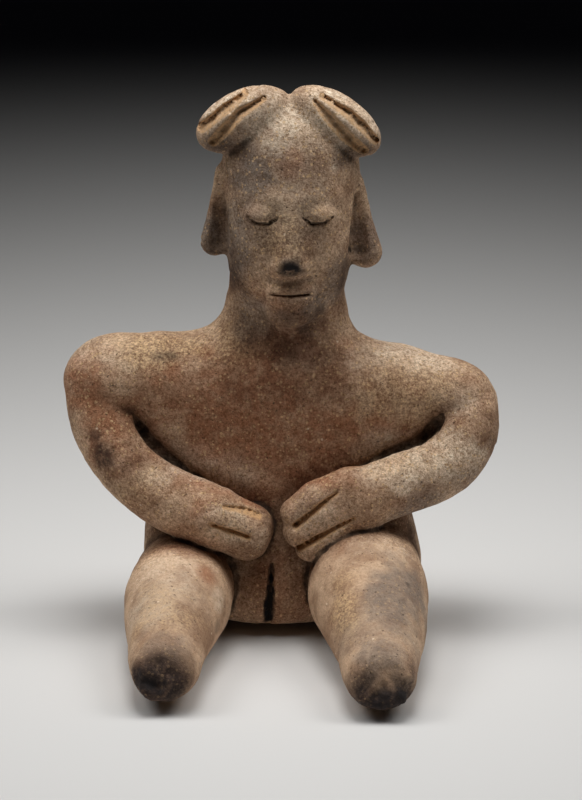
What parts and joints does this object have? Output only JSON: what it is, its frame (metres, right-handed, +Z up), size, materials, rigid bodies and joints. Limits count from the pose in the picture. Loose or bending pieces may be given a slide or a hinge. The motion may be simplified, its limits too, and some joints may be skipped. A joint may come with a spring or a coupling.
{
  "type": "seated figure",
  "caption": "Seated human figure of solid fired clay, hands on the belly, short cone legs, grooved hair buns and hanging ear flaps; a display piece that rests on its flat seat.",
  "frame": {"origin": "on the floor, under the middle of the figure's bounding box", "axes": "+Z is up, the figure faces -Y, and +X is on the right of someone who looks at its face"},
  "size_m": [0.1165, 0.0999, 0.1476],
  "materials": {
    "clay": "matt, gritty, unglazed, with grey fire clouds and earth left in the grooves"
  },
  "bodies": {
    "root": {"figure": "clay"}
  },
  "joints": []
}
